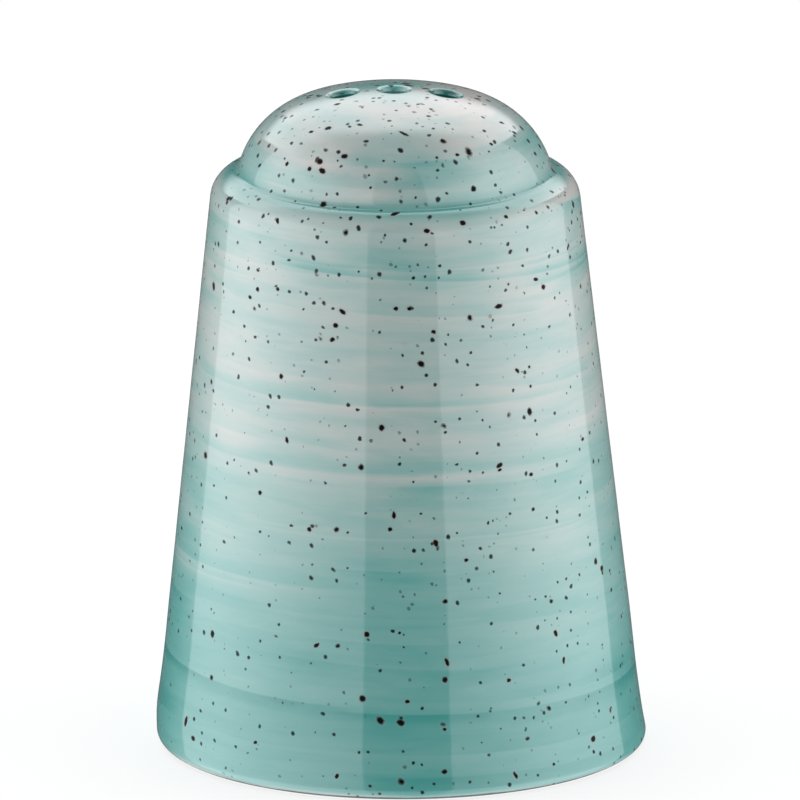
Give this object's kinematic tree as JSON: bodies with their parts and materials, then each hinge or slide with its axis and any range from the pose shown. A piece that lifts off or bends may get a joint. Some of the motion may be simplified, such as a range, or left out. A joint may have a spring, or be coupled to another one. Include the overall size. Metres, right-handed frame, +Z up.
{
  "type": "spice shaker",
  "caption": "Small conical glazed shaker with a domed top, pour holes in a row and a soft pull-out stopper in its base.",
  "frame": {"origin": "centre of the foot ring, on the surface the shaker stands on", "axes": "+Z up through the middle of the dome; the row of pour holes runs along X; -Y faces the viewer"},
  "size_m": [0.051, 0.051, 0.0699],
  "materials": {
    "glazed_porcelain": "glossy reactive glaze, pale aqua with speckles, bare foot ring",
    "stopper_silicone": "satin translucent-white silicone"
  },
  "bodies": {
    "body": {"shaker_body": "glazed_porcelain"},
    "stopper": {"stopper": "stopper_silicone"}
  },
  "joints": [
    {"name": "stopper_pull", "type": "slide", "parent": "body", "child": "stopper", "axis": [0, 0, -1], "range_m": [0, 0.032]}
  ]
}
